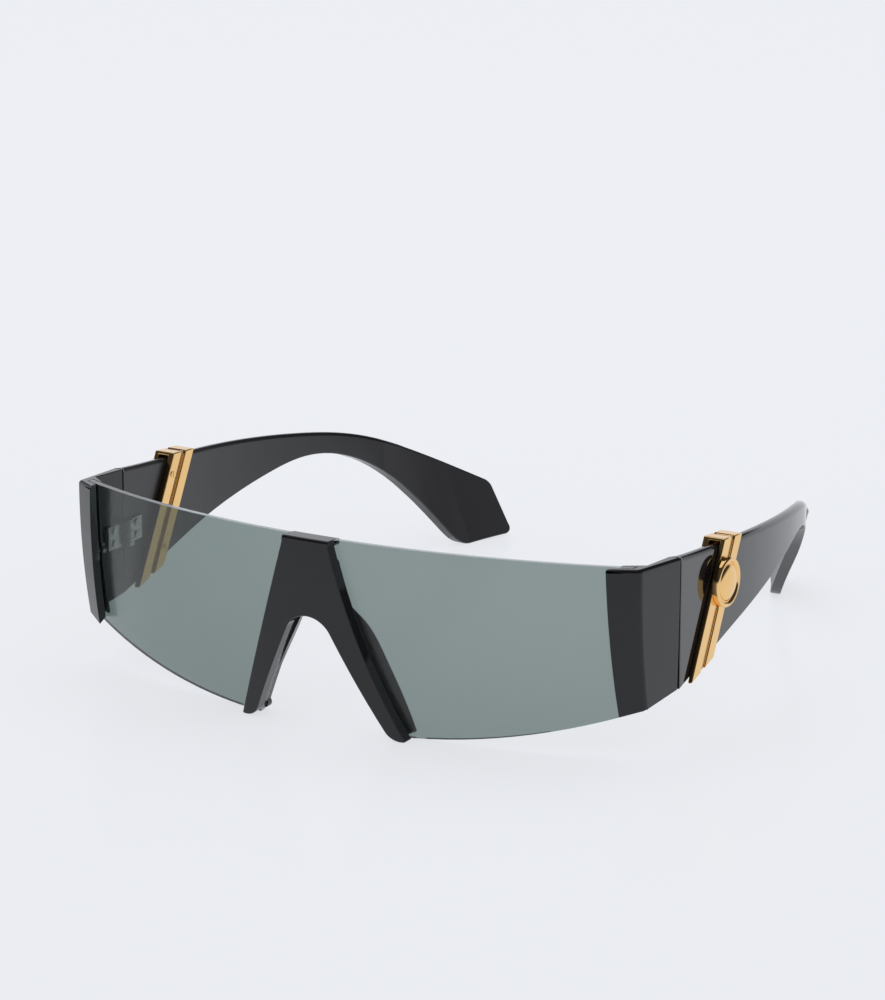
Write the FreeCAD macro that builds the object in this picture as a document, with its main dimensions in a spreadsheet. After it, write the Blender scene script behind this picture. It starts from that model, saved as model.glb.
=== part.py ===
import FreeCAD, Part
import Sketcher
import math
import os

# Shield sunglasses, standing open on the two nose legs and the two temple tips.
# Millimetres, +Z up, the front faces -Y, the temples run back along +Y.
# The origin is under the middle of the object's box, on the surface it stands on.
# "reach" sizes are measured along Y from the plane of the two front corners,
# "rise" sizes are heights above the surface, "half" sizes are measured from the plane X = 0.

doc = FreeCAD.newDocument("shield_sunglasses")
sheet = doc.addObject("Spreadsheet::Sheet", "sizes")

SIZES = (
    # one-piece lens, cut from a spherical blank
    ("lens_radius", "152.0"),
    ("lens_thick", "1.6"),
    ("lens_half", "69.8"),
    ("edge_reach", "0.67"),
    ("centre_rise", "42.0"),
    ("rim_rise", "44.1"),
    ("rim_angle", "4.32"),
    ("lens_low_rise", "0.2"),
    ("lens_low_half", "12.0"),
    ("lens_sweep", "165.0"),
    ("lens_set", "0.3"),
    # bridge plate with its two nose legs and the cap over the lens
    ("bridge_thick", "2.8"),
    ("bridge_top_half", "5.9"),
    ("bridge_waist_wide", "6.57"),
    ("bridge_waist_rise", "25.0"),
    ("arch_rise", "27.6"),
    ("arch_radius", "6.15"),
    ("leg_angle", "26.4"),
    ("foot_wide", "3.58"),
    ("foot_out", "1.0"),
    ("foot_in_rise", "2.22"),
    ("foot_out_rise", "0.13"),
    ("cap_back", "0.9"),
    ("cap_drop", "1.4"),
    # saddle behind the lens, with the nose pads
    ("saddle_thick", "1.6"),
    ("saddle_inset", "0.7"),
    ("saddle_side_inset", "1.8"),
    ("saddle_drop", "4.1"),
    ("pad_depth", "5.4"),
    ("pad_mid_rise", "17.0"),
    ("pad_top_lift", "4.4"),
    ("pad_angle", "18.0"),
    ("pad_seat_reach", "11.0"),
    ("pad_round", "0.5"),
    # end pieces
    ("corner_wall", "2.4"),
    ("corner_round", "0.9"),
    ("lip_cover", "3.9"),
    ("lip_lean", "1.3"),
    ("lip_lead", "4.4"),
    ("lip_step", "1.0"),
    ("back_lip", "0.9"),
    ("elbow_deep", "3.4"),
    ("lip_bottom_rise", "9.7"),
    ("lip_bottom_lead", "0.6"),
    ("corner_bottom_rise", "11.7"),
    ("corner_bottom_reach", "3.6"),
    ("seam_reach", "16.2"),
    ("seam_bottom_rise", "12.9"),
    ("seam_flare", "1.4"),
    ("slot_clear", "0.1"),
    # temples
    ("seam_gap", "0.35"),
    ("temple_thick", "2.7"),
    ("temple_reach", "141.4"),
    ("bend_radius", "164.5"),
    ("waist_reach", "88.0"),
    ("waist_top_rise", "35.5"),
    ("waist_low_rise", "29.6"),
    ("paddle_top_reach", "139.0"),
    ("paddle_top_rise", "14.3"),
    ("paddle_low_reach", "129.6"),
    ("paddle_angle", "16.7"),
    ("cant_run", "13.0"),
    ("toe_rise", "0.8"),
    ("toe_round", "2.2"),
    ("tip_round", "1.5"),
    # hinges
    ("hinge_drop", "0.2"),
    ("hinge_tall", "5.6"),
    ("knuckle_radius", "1.25"),
    ("knuckle_gap", "0.12"),
    ("pin_radius", "0.6"),
    ("pin_clear", "0.04"),
    ("pin_inset", "1.6"),
    ("pin_head_radius", "1.0"),
    ("pin_head_tall", "0.6"),
    ("leaf_thick", "0.85"),
    ("leaf_front_long", "7.0"),
    ("leaf_rear_long", "6.6"),
    ("leaf_relief", "1.65"),
    ("rivet_radius", "0.5"),
    ("rivet_head_radius", "0.9"),
    ("rivet_head_tall", "0.35"),
    ("rivet_deep", "1.6"),
    ("rivet_pitch", "3.0"),
    ("rivet_reach", "4.5"),
    # clips
    ("clip_setback", "4.15"),
    ("clip_angle", "28.0"),
    ("clip_bar", "3.8"),
    ("clip_groove", "1.6"),
    ("clip_out", "1.1"),
    ("clip_in", "1.5"),
    ("clip_web_out", "0.5"),
    ("clip_web_in", "0.8"),
    ("clip_top", "0.7"),
    ("clip_top_gap", "0.45"),
    ("clip_web_top", "0.4"),
    ("clip_overhang", "0.7"),
    # plain boss on each clip
    ("boss_radius", "5.6"),
    ("boss_thick", "1.0"),
    ("boss_rim", "1.0"),
    ("boss_rim_tall", "0.6"),
    ("boss_dome_tall", "1.1"),
    ("boss_drop", "8.5"),
    # screws
    ("screw_radius", "0.7"),
    ("screw_head_radius", "1.2"),
    ("screw_head_tall", "0.9"),
    ("screw_slot", "0.35"),
    ("screw_clear", "0.05"),
    ("screw_grip", "1.3"),
    ("bridge_screw_half", "3.9"),
    ("bridge_screw_drop", "8.6"),
    ("bridge_screw_seat", "0.9"),
    ("end_screw_inset", "1.4"),
    ("end_screw_seat", "0.4"),
    ("clip_screw_radius", "0.5"),
    ("clip_screw_head_radius", "0.8"),
    ("clip_screw_head_tall", "0.15"),
    ("clip_screw_grip", "1.7"),
    ("clip_screw_drop", "3.9"),
    ("clip_screw_lift", "3.4"),
)

for row, (alias, text) in enumerate(SIZES, 1):
    sheet.set("A%d" % row, alias)
    sheet.set("B%d" % row, text)
    sheet.setAlias("B%d" % row, alias)
doc.recompute()


def val(alias):
    """Number held in a cell of the sheet."""
    return float(sheet.get(alias))


def ref(alias):
    """Expression that reads a cell of the sheet."""
    return "sizes." + alias


V = FreeCAD.Vector
X_AXIS = V(1, 0, 0)
Y_AXIS = V(0, 1, 0)
Z_AXIS = V(0, 0, 1)
APEX = val("lens_radius") - math.sqrt(val("lens_radius") ** 2 - val("lens_half") ** 2) - val("edge_reach")
SHIFT = (APEX + val("bridge_thick") - val("temple_reach")) / 2
EDGE_REF = "sqrt(sizes.lens_radius ^ 2 - sizes.lens_half ^ 2)"
APEX_REF = "(sizes.lens_radius - %s - sizes.edge_reach)" % EDGE_REF
SHIFT_REF = "(%s + sizes.bridge_thick - sizes.temple_reach) / 2" % APEX_REF
CENTRE = V(0, SHIFT + val("lens_radius") - APEX, val("centre_rise"))
CENTRE_Y_REF = SHIFT_REF + " + sizes.lens_radius - " + APEX_REF
FAR = ref("lens_radius")
LENS_HALF = val("lens_half")
CORNER_HALF = LENS_HALF + val("corner_wall")
LIP_HALF = LENS_HALF - val("lip_cover")
SEAM_HALF = CORNER_HALF + val("seam_flare")

FRONT = FreeCAD.Rotation(X_AXIS, 90)
SIDE = FreeCAD.Rotation(V(1, 1, 1), 120)
PLAN = FreeCAD.Rotation()


def line(start, end):
    """Straight edge between two 2-D points of a sketch."""
    return Part.LineSegment(V(start[0], start[1], 0), V(end[0], end[1], 0))


def arc(start, via, end):
    """Circular edge through three 2-D points of a sketch."""
    return Part.Arc(V(start[0], start[1], 0), V(via[0], via[1], 0), V(end[0], end[1], 0))


def curve(points, first=None, last=None):
    """Smooth edge through 2-D points, with end directions where they are given."""
    spline = Part.BSplineCurve()
    knots = [V(p[0], p[1], 0) for p in points]
    if first is None:
        spline.interpolate(knots)
    else:
        spline.interpolate(Points=knots, InitialTangent=V(first[0], first[1], 0),
                           FinalTangent=V(last[0], last[1], 0))
    return spline


def polygon(points):
    """Closed run of straight edges."""
    return [line(points[i], points[(i + 1) % len(points)]) for i in range(len(points))]


def outline(name, turn, edges, base=V(0, 0, 0)):
    """Closed sketch from edges in order, joined end to end."""
    sketch = doc.addObject("Sketcher::SketchObject", name)
    sketch.Placement = FreeCAD.Placement(base, turn)
    for edge in edges:
        sketch.addGeometry(edge, False)
    count = len(edges)
    for i in range(count):
        j = (i + 1) % count
        for a in (1, 2):
            for b in (1, 2):
                if sketch.getPoint(i, a).distanceToPoint(sketch.getPoint(j, b)) < 1e-6:
                    sketch.addConstraint(Sketcher.Constraint("Coincident", i, a, j, b))
    return sketch


def extrude(name, sketch, direction, forward, backward="0"):
    """Solid swept from a sketch along a direction, both lengths bound to the sheet."""
    solid = doc.addObject("Part::Extrusion", name)
    solid.Base = sketch
    solid.DirMode = "Custom"
    solid.Dir = direction
    solid.Solid = True
    solid.setExpression("LengthFwd", forward)
    solid.setExpression("LengthRev", backward)
    return solid


def ball(name, radius):
    """Sphere about the lens's centre."""
    solid = doc.addObject("Part::Sphere", name)
    solid.setExpression("Radius", radius)
    solid.setExpression("Placement.Base.y", CENTRE_Y_REF)
    solid.setExpression("Placement.Base.z", ref("centre_rise"))
    return solid


def box(name, x_span, y_span, z_span):
    """Box between bound limits on each axis."""
    solid = doc.addObject("Part::Box", name)
    spans = (("Length", "x", x_span), ("Width", "y", y_span), ("Height", "z", z_span))
    for side, axis, (low, high) in spans:
        solid.setExpression(side, "(%s) - (%s)" % (high, low))
        solid.setExpression("Placement.Base." + axis, low)
    return solid


def rod(name, radius, long, turn=None, base=("0", "0", "0")):
    """Cylinder of bound radius and length, standing on its base point along its own axis."""
    solid = doc.addObject("Part::Cylinder", name)
    solid.setExpression("Radius", radius)
    solid.setExpression("Height", long)
    if turn is not None:
        solid.Placement = FreeCAD.Placement(V(0, 0, 0), turn)
    for axis, place in zip("xyz", base):
        solid.setExpression("Placement.Base." + axis, place)
    return solid


def fuse(name, *solids):
    """Union of solids."""
    result = doc.addObject("Part::MultiFuse", name)
    result.Shapes = list(solids)
    return result


def common(name, *solids):
    """Space shared by all the solids."""
    result = doc.addObject("Part::MultiCommon", name)
    result.Shapes = list(solids)
    return result


def cut(name, base, *tools):
    """First solid less the others."""
    result = doc.addObject("Part::Cut", name)
    result.Base = base
    result.Tool = tools[0] if len(tools) == 1 else fuse(name + "_tools", *tools)
    return result


def shell(name, outside, inside):
    """Space between two spheres about the lens's centre."""
    return cut(name, ball(name + "_outer", outside), ball(name + "_inner", inside))


def rounded(name, base, radius, wanted):
    """Fillet of one radius on the edges that a test picks."""
    doc.recompute()
    result = doc.addObject("Part::Fillet", name)
    result.Base = base
    picked = [i for i, edge in enumerate(base.Shape.Edges, 1) if wanted(edge)]
    result.Edges = [(i, radius, radius) for i in picked]
    return result


def mirror(name, source):
    """Copy on the other side of the plane X = 0."""
    result = doc.addObject("Part::Mirroring", name)
    result.Source = source
    result.Normal = V(1, 0, 0)
    result.Base = V(0, 0, 0)
    return result


NODES = []


def node(label, solid):
    """Names a finished sub-part."""
    solid.Label = label
    NODES.append(solid)


def pair(label, solid):
    """Names a right-hand sub-part and its mirrored left-hand twin."""
    node(label + "_right", solid)
    node(label + "_left", mirror(label + "_mirrored", solid))


# Space under the tilted rim: the top edges of the lens, bridge and end pieces lie in one plane.
RIM_FALL = math.tan(math.radians(val("rim_angle")))


def rim_at(y, drop=0.0):
    """Height of the rim plane at a place along Y."""
    return val("rim_rise") - drop - RIM_FALL * (y - SHIFT)


near = SHIFT - LENS_HALF
back = SHIFT + LENS_HALF
cap_drop = val("cap_drop")
rim_corners = [(back, rim_at(back)), (near, rim_at(near))]
floor_corners = [(near, -LENS_HALF), (back, -LENS_HALF)]
cap_corners = [(near, rim_at(near, cap_drop)), (back, rim_at(back, cap_drop))]
rim_outline = outline("under_rim_outline", SIDE, polygon(floor_corners + rim_corners))
under_rim = extrude("under_rim", rim_outline, X_AXIS, FAR, FAR)
cap_outline = outline("cap_outline", SIDE, polygon(cap_corners + rim_corners))
cap_block = extrude("cap_block", cap_outline, X_AXIS, ref("bridge_top_half"), ref("bridge_top_half"))

# Nose arch: a round top and two straight legs that splay out to the feet.
splay = math.radians(val("leg_angle"))
arch_rise = val("arch_rise")
arch_centre = arch_rise - val("arch_radius")


def arch_tangent(set_back):
    """Point where the arch's round top meets the straight leg, moved outward by set_back."""
    radius = val("arch_radius") + set_back
    return (radius * math.cos(splay), arch_centre + radius * math.sin(splay))


def leg_point(set_back, rise):
    """Point of the leg's inner line at a height."""
    x, z = arch_tangent(set_back)
    return (x + math.tan(splay) * (z - rise), rise)


def flip(point):
    """Same point on the other side of X = 0."""
    return (-point[0], point[1])


foot_in = leg_point(0, val("foot_in_rise"))
foot = (foot_in[0] + val("foot_wide"), 0)


# Lens: shell of the blank inside a front outline with a swept lower edge and the nose arch.
def lens_low(x):
    """Height of the lens's lower edge."""
    sweep = val("lens_sweep")
    return val("lens_low_rise") + sweep - math.sqrt(sweep ** 2 - (x - val("lens_low_half")) ** 2)


lens_set = val("lens_set")
crown = (0, arch_rise + lens_set)
bend = arch_tangent(lens_set)
heel = leg_point(lens_set, lens_low(foot[0]))
mid_x = (heel[0] + LENS_HALF) / 2
heel = (heel[0], lens_low(heel[0]))
toe = (LENS_HALF, lens_low(LENS_HALF))
belly = (mid_x, lens_low(mid_x))
top_out = (LENS_HALF, 2 * val("rim_rise"))
lens_edges = [line(flip(top_out), flip(toe)), arc(flip(toe), flip(belly), flip(heel)),
              line(flip(heel), flip(bend)), arc(flip(bend), crown, bend), line(bend, heel),
              arc(heel, belly, toe), line(toe, top_out), line(top_out, flip(top_out))]
lens_prism = extrude("lens_prism", outline("lens_outline", FRONT, lens_edges), Y_AXIS, FAR, FAR)
lens_shell = shell("lens_shell", ref("lens_radius"), "sizes.lens_radius - sizes.lens_thick")
lens_blank = common("lens_blank", lens_shell, lens_prism, under_rim)

# Bridge plate in front of the lens, and its cap over the lens's upper edge.
top_half = val("bridge_top_half")
waist_rise = val("bridge_waist_rise")
waist = (leg_point(0, waist_rise)[0] + val("bridge_waist_wide"), waist_rise)
shoulder = (top_half, val("rim_rise"))
foot_out = (foot[0] + val("foot_out"), val("foot_out_rise"))
arch_bend = arch_tangent(0)
arch_crown = (0, arch_rise)
lid = (top_half, 2 * val("rim_rise"))
bridge_edges = [line(flip(lid), flip(shoulder)), arc(flip(shoulder), flip(waist), flip(foot_out)),
                arc(flip(foot_out), flip(foot), flip(foot_in)), line(flip(foot_in), flip(arch_bend)),
                arc(flip(arch_bend), arch_crown, arch_bend), line(arch_bend, foot_in),
                arc(foot_in, foot, foot_out), arc(foot_out, waist, shoulder), line(shoulder, lid),
                line(lid, flip(lid))]
bridge_prism = extrude("bridge_prism", outline("bridge_outline", FRONT, bridge_edges), Y_AXIS, FAR, FAR)
plate_shell = shell("plate_shell", "sizes.lens_radius + sizes.bridge_thick", ref("lens_radius"))
plate = common("bridge_plate", plate_shell, bridge_prism, under_rim)
cap_shell = shell("cap_shell", "sizes.lens_radius + sizes.bridge_thick / 2",
                  "sizes.lens_radius - sizes.lens_thick - sizes.cap_back")
cap = common("bridge_cap", cap_shell, cap_block)
bridge_blank = fuse("bridge_blank", plate, cap)

# Saddle: a plate behind the lens along the legs, and two pads that run back and outward.
inset = val("saddle_inset")
side_inset = val("saddle_side_inset")
saddle_top = val("rim_rise") - val("saddle_drop")
side_slope = (waist[0] - top_half) / (shoulder[1] - waist[1])
brow = (top_half + side_slope * (shoulder[1] - saddle_top) - side_inset, saddle_top)
hip = (waist[0] - side_inset, waist[1])
sole_out = (foot_out[0] - side_inset, foot_out[1] + 2 * inset)
sole_in = leg_point(inset / 2, val("foot_in_rise") + inset)
sole = ((sole_in[0] + sole_out[0]) / 2, inset)
saddle_bend = arch_tangent(inset / 2)
saddle_crown = (0, arch_rise + inset / 2)
saddle_edges = [arc(flip(brow), flip(hip), flip(sole_out)), arc(flip(sole_out), flip(sole), flip(sole_in)),
                line(flip(sole_in), flip(saddle_bend)), arc(flip(saddle_bend), saddle_crown, saddle_bend),
                line(saddle_bend, sole_in), arc(sole_in, sole, sole_out), arc(sole_out, hip, brow),
                line(brow, flip(brow))]
saddle_prism = extrude("saddle_prism", outline("saddle_outline", FRONT, saddle_edges), Y_AXIS, FAR, FAR)
saddle_shell = shell("saddle_shell", "sizes.lens_radius - sizes.lens_thick",
                     "sizes.lens_radius - sizes.lens_thick - sizes.saddle_thick")
saddle_plate = common("saddle_plate", saddle_shell, saddle_prism)

pad_top = arch_rise + val("pad_top_lift")
pad_inner_top = leg_point(inset / 2, pad_top)
pad_outer_top = (waist[0] - side_inset - side_slope * (pad_top - waist[1]), pad_top)
pad_edges = [line(pad_inner_top, sole_in), arc(sole_in, sole, sole_out), arc(sole_out, hip, pad_outer_top),
             line(pad_outer_top, pad_inner_top)]
pad_seat = SHIFT - val("pad_seat_reach")
pad_way = V(math.tan(math.radians(val("pad_angle"))), 1, 0)
pad_outline = outline("pad_outline", FRONT, pad_edges, V(0, pad_seat, 0))
pad_prism = extrude("pad_prism", pad_outline, pad_way, "4 * sizes.pad_depth", APEX_REF)


def lens_back(x, z):
    """Place along Y of the lens's rear face."""
    radius = val("lens_radius") - val("lens_thick")
    return CENTRE.y - math.sqrt(radius ** 2 - x ** 2 - (z - CENTRE.z) ** 2)


pad_mid = val("pad_mid_rise")
pad_deep = val("pad_depth")
thin = val("saddle_thick")
pad_brow = pad_top + thin / 2
pad_back = [(lens_back(waist[0], pad_top) + thin / 2, pad_brow),
            (lens_back(waist[0], pad_top) + thin, pad_top - thin),
            (lens_back(waist[0], pad_mid) + 0.55 * pad_deep, 0.57 * pad_top + 0.43 * pad_mid),
            (lens_back(waist[0], pad_mid) + pad_deep, pad_mid),
            (lens_back(foot[0], pad_mid / 2) + 0.72 * pad_deep, pad_mid / 2),
            (lens_back(foot[0], 0) + thin, 0)]
pad_side_edges = [curve(pad_back), line(pad_back[-1], (near, 0)), line((near, 0), (near, pad_brow)),
                  line((near, pad_brow), pad_back[0])]
pad_side = extrude("pad_side", outline("pad_side_outline", SIDE, pad_side_edges), X_AXIS, FAR, FAR)
pad_ball = ball("pad_ball", "sizes.lens_radius - sizes.lens_thick")
pad_right = common("pad_right", pad_prism, pad_side, pad_ball)


def pad_rear(edge):
    """Edges of the pad that lie behind the saddle plate."""
    middle = edge.valueAt((edge.FirstParameter + edge.LastParameter) / 2)
    return middle.y > lens_back(middle.x, middle.z) + 1.6 * thin and edge.Length > pad_mid / 2


pad_soft = rounded("pad_soft", pad_right, val("pad_round"), pad_rear)
pad_left = mirror("pad_left", pad_soft)
saddle_blank = fuse("saddle_blank", saddle_plate, pad_soft, pad_left)

# End piece, right: the plan section is swept about the lens's horizontal axis, so that its front
# follows the blank, then cut to the rim, the seam and the rising lower edge.
inner_half = SEAM_HALF - val("temple_thick")
seam = val("seam_reach")
drift = (SEAM_HALF - CORNER_HALF) / seam
tail = 2 * seam
back_half = LIP_HALF + val("lip_step")
lens_front_lip = CENTRE.y - math.sqrt(val("lens_radius") ** 2 - back_half ** 2) - SHIFT
lens_slant = val("lens_radius") / math.sqrt(val("lens_radius") ** 2 - back_half ** 2)
lip_rear = lens_front_lip + lens_slant * val("lens_thick") + val("back_lip")
corner = (CORNER_HALF, 0.0)
lip = (LIP_HALF, -val("lip_lead"))


def toward(start, end, distance):
    """Point at a distance from start on the way to end."""
    gap = math.hypot(end[0] - start[0], end[1] - start[1])
    return (start[0] + (end[0] - start[0]) * distance / gap, start[1] + (end[1] - start[1]) * distance / gap)


def softened(before, corner, after, distance):
    """Three points of the arc that rounds a corner, starting at a distance from it on each side."""
    first = toward(corner, before, distance)
    last = toward(corner, after, distance)
    middle = ((first[0] + last[0]) / 4 + corner[0] / 2, (first[1] + last[1]) / 4 + corner[1] / 2)
    return [first, middle, last]


tail_out = (corner[0] + drift * tail, tail)
elbow = (inner_half, lip_rear + val("elbow_deep"))
lip_back = (back_half, lip_rear)
plan = [lip] + softened(lip, corner, tail_out, val("corner_round"))
plan += [tail_out, (inner_half, tail), elbow, lip_back]
plan = [(x, SHIFT + y) for x, y in plan]
end_edges = [line(plan[0], plan[1]), arc(plan[1], plan[2], plan[3])]
end_edges += [line(plan[i], plan[(i + 1) % 8]) for i in range(3, 8)]
end_plan = outline("end_plan", PLAN, end_edges, V(0, 0, CENTRE.z))
end_sweep = doc.addObject("Part::Revolution", "end_sweep")
end_sweep.Source = end_plan
end_sweep.Axis = X_AXIS
end_sweep.Base = CENTRE
end_sweep.Angle = 60
end_sweep.Symmetric = True
end_sweep.Solid = True
corner_low = (SHIFT + val("corner_bottom_reach"), val("corner_bottom_rise"))
lip_low = (SHIFT - val("lip_bottom_lead"), val("lip_bottom_rise"))
seam_y = SHIFT + seam
fall = (corner_low[1] - lip_low[1]) / (corner_low[0] - lip_low[0])
front_low = (near, lip_low[1] - fall * (lip_low[0] - near))
end_side_edges = polygon([front_low, lip_low, corner_low, (seam_y, val("seam_bottom_rise")),
                          (seam_y, rim_at(seam_y)), (near, rim_at(near))])
end_side = extrude("end_side", outline("end_side_outline", SIDE, end_side_edges), X_AXIS, FAR)
lip_slope = val("lip_lean") / (val("rim_rise") - lip_low[1])
lip_top = (LIP_HALF - lip_slope * val("rim_rise"), 2 * val("rim_rise"))
lip_foot = (LIP_HALF + lip_slope * val("rim_rise"), 0)
inside_edges = polygon([(0, lip_top[1]), lip_top, lip_foot, (0, 0)])
inside = extrude("inside", outline("inside_outline", FRONT, inside_edges), Y_AXIS, FAR, FAR)
end_block = cut("end_block", common("end_full", end_sweep, end_side), inside)
slot_shell = shell("slot_shell", "sizes.lens_radius + sizes.slot_clear",
                   "sizes.lens_radius - sizes.lens_thick - sizes.slot_clear")
slot_span = box("slot_span", ("0", "sizes.lens_half + sizes.slot_clear"), ("-" + FAR, FAR), ("-" + FAR, FAR))
slot = common("lens_slot", slot_shell, slot_span)

# Temple, right: side profile of the blade, with a paddle that bends down to its sole.
thick = val("temple_thick")
start_y = seam_y + val("seam_gap")
end_y = SHIFT + val("temple_reach")
high = rim_at(start_y)
low = val("seam_bottom_rise")
clip_lean = math.tan(math.radians(val("clip_angle")))
clip_low_y = start_y + val("clip_setback")
bar = val("clip_bar")
groove_wide = val("clip_groove")
bend_y = clip_low_y + 2 * bar + groove_wide + clip_lean * (high - low)
waist_y = SHIFT + val("waist_reach")
waist_top = val("waist_top_rise")
waist_low = val("waist_low_rise")
tip_top = (SHIFT + val("paddle_top_reach"), val("paddle_top_rise"))
sole_start = (SHIFT + val("paddle_low_reach"), 0.0)
toe_corner = (end_y, val("toe_rise"))


def between(start, end, along, across):
    """Point at given shares of the way from start to end, along Y and along Z."""
    return (start[0] + (end[0] - start[0]) * along, start[1] + (end[1] - start[1]) * across)


top_waist = (waist_y, waist_top)
low_waist = (waist_y, waist_low)
crest = between(top_waist, tip_top, 0.38, 0.205)
top_run = [(start_y, high), between((start_y, high), top_waist, 0.49, 0.43), top_waist, crest,
           between(top_waist, tip_top, 0.66, 0.515), tip_top]
low_run = [(start_y, low), between((start_y, low), low_waist, 0.5, 0.595),
           between((start_y, low), low_waist, 0.84, 0.91), low_waist,
           between(low_waist, sole_start, 0.41, 0.14), between(low_waist, sole_start, 0.675, 0.45),
           between(low_waist, sole_start, 0.85, 0.82), sole_start]
tip_arc = softened(top_run[-2], tip_top, toe_corner, val("tip_round"))
toe_arc = softened(tip_top, toe_corner, sole_start, val("toe_round"))
top_run[-1] = tip_arc[0]
low_slope = (low_run[1][0] - low_run[0][0], low_run[1][1] - low_run[0][1])
profile = [curve(top_run), arc(*tip_arc), line(tip_arc[2], toe_arc[0]), arc(*toe_arc),
           line(toe_arc[2], sole_start), curve(low_run, low_slope, (1, 0)),
           line((start_y, low), (start_y, high))]
profile_side = extrude("temple_side", outline("temple_side_outline", SIDE, profile), X_AXIS, FAR)

# The blade bends inward in plan, and the paddle's lower edge leans further in than its upper edge.
cant = math.tan(math.radians(val("paddle_angle")))
crest_fall = (tip_top[1] - crest[1]) / (tip_top[0] - crest[0])


def temple_x(y, z):
    """Distance of the temple's outer face from X = 0."""
    radius = val("bend_radius")
    past = max(0.0, y - bend_y)
    share = min(1.0, max(0.0, (y - crest[0]) / val("cant_run")))
    ease = share * share * (3 - 2 * share)
    depth = crest[1] + crest_fall * (y - crest[0]) - z
    return SEAM_HALF - radius + math.sqrt(radius ** 2 - past ** 2) - cant * ease * depth


PLAN_STEPS = 12


def plan_run(z, depth):
    """Points of the temple's face in plan at a height, at a depth below the outer face."""
    step = (end_y + 2 * thick - bend_y) / PLAN_STEPS
    points = []
    for i in range(PLAN_STEPS + 1):
        y = bend_y + i * step
        slope = (temple_x(y + thick, z) - temple_x(y - thick, z)) / (2 * thick)
        size = math.hypot(1, slope)
        points.append((temple_x(y, z) - depth / size, y + depth * slope / size))
    points[0] = (SEAM_HALF - depth, bend_y)
    return points


def heading(points):
    """Direction of a run of points at its end."""
    return (points[-1][0] - points[-2][0], points[-1][1] - points[-2][1])


def temple_plan(name, z):
    """Plan outline of the temple at a height."""
    outer = plan_run(z, 0)
    inner = plan_run(z, thick)
    front_out = (SEAM_HALF, start_y)
    front_in = (SEAM_HALF - thick, start_y)
    edges = [line(front_out, outer[0]), curve(outer, (0, 1), heading(outer)), line(outer[-1], inner[-1]),
             curve(inner, (0, 1), heading(inner)), line(inner[0], front_in), line(front_in, front_out)]
    return outline(name, PLAN, edges, V(0, 0, z))


band = doc.addObject("Part::Loft", "temple_band")
band.Sections = [temple_plan("temple_plan_low", -thick), temple_plan("temple_plan_high", high + thick)]
band.Ruled = True
band.Solid = True
temple_block = common("temple_block", band, profile_side)

# Hinge, right: an upright pin inside the temple's inner face, two knuckles on the front leaf and
# one on the rear leaf.
INNER = "(sizes.lens_half + sizes.corner_wall + sizes.seam_flare - sizes.temple_thick)"
PIN_X = INNER + " - sizes.pin_inset"
PIN_Y = SHIFT_REF + " + sizes.seam_reach + sizes.seam_gap / 2"
SEAM_TOP = "(sizes.rim_rise - tan(sizes.rim_angle * 1 deg) * sizes.seam_reach)"
HINGE_RISE = "((%s + sizes.seam_bottom_rise) / 2 - sizes.hinge_drop)" % SEAM_TOP
LOW = HINGE_RISE + " - sizes.hinge_tall / 2"
HIGH = HINGE_RISE + " + sizes.hinge_tall / 2"
STEP = "(sizes.hinge_tall - 2 * sizes.knuckle_gap) / 3"
LOW_TOP = LOW + " + " + STEP
MID_LOW = LOW_TOP + " + sizes.knuckle_gap"
MID_TOP = MID_LOW + " + " + STEP
HIGH_LOW = MID_TOP + " + sizes.knuckle_gap"
LEAF_X = (INNER + " - sizes.leaf_thick", INNER)
bore = rod("hinge_bore", "sizes.pin_radius + sizes.pin_clear", "sizes.hinge_tall * 3",
           base=(PIN_X, PIN_Y, HINGE_RISE + " - 1.5 * sizes.hinge_tall"))


def knuckle(name, bottom):
    """One barrel of the hinge."""
    return rod(name, ref("knuckle_radius"), STEP, base=(PIN_X, PIN_Y, bottom))


RELIEF_FRONT = PIN_Y + " - sizes.leaf_relief"
RELIEF_REAR = PIN_Y + " + sizes.leaf_relief"
FRONT_TAB = (RELIEF_FRONT + " - sizes.leaf_thick", SHIFT_REF + " + sizes.seam_reach")
REAR_TAB = (SHIFT_REF + " + sizes.seam_reach + sizes.seam_gap", RELIEF_REAR + " + sizes.leaf_thick")
front_leaf = box("front_leaf", LEAF_X, (PIN_Y + " - sizes.leaf_front_long", RELIEF_FRONT), (LOW, HIGH))
front_tab_low = box("front_tab_low", LEAF_X, FRONT_TAB, (LOW, LOW_TOP))
front_tab_high = box("front_tab_high", LEAF_X, FRONT_TAB, (HIGH_LOW, HIGH))
front_body = fuse("front_hinge_body", front_leaf, front_tab_low, front_tab_high, knuckle("knuckle_low", LOW),
                  knuckle("knuckle_high", HIGH_LOW))
rear_leaf = box("rear_leaf", LEAF_X, (RELIEF_REAR, PIN_Y + " + sizes.leaf_rear_long"), (LOW, HIGH))
rear_tab = box("rear_tab", LEAF_X, REAR_TAB, (MID_LOW, MID_TOP))
rear_body = fuse("rear_hinge_body", rear_leaf, rear_tab, knuckle("knuckle_mid", MID_LOW))
pin_shank = rod("pin_shank", ref("pin_radius"), "sizes.hinge_tall + sizes.pin_head_tall / 2",
                base=(PIN_X, PIN_Y, LOW))
pin_head = rod("pin_head", ref("pin_head_radius"), ref("pin_head_tall"), base=(PIN_X, PIN_Y, HIGH))
pin_slot = box("pin_slot", (PIN_X + " - 2 * sizes.pin_head_radius", PIN_X + " + 2 * sizes.pin_head_radius"),
               (PIN_Y + " - sizes.screw_slot / 2", PIN_Y + " + sizes.screw_slot / 2"),
               (HIGH + " + sizes.pin_head_tall / 2", HIGH + " + 2 * sizes.pin_head_tall"))
pin = cut("hinge_pin", fuse("pin_body", pin_shank, pin_head), pin_slot)

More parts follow.
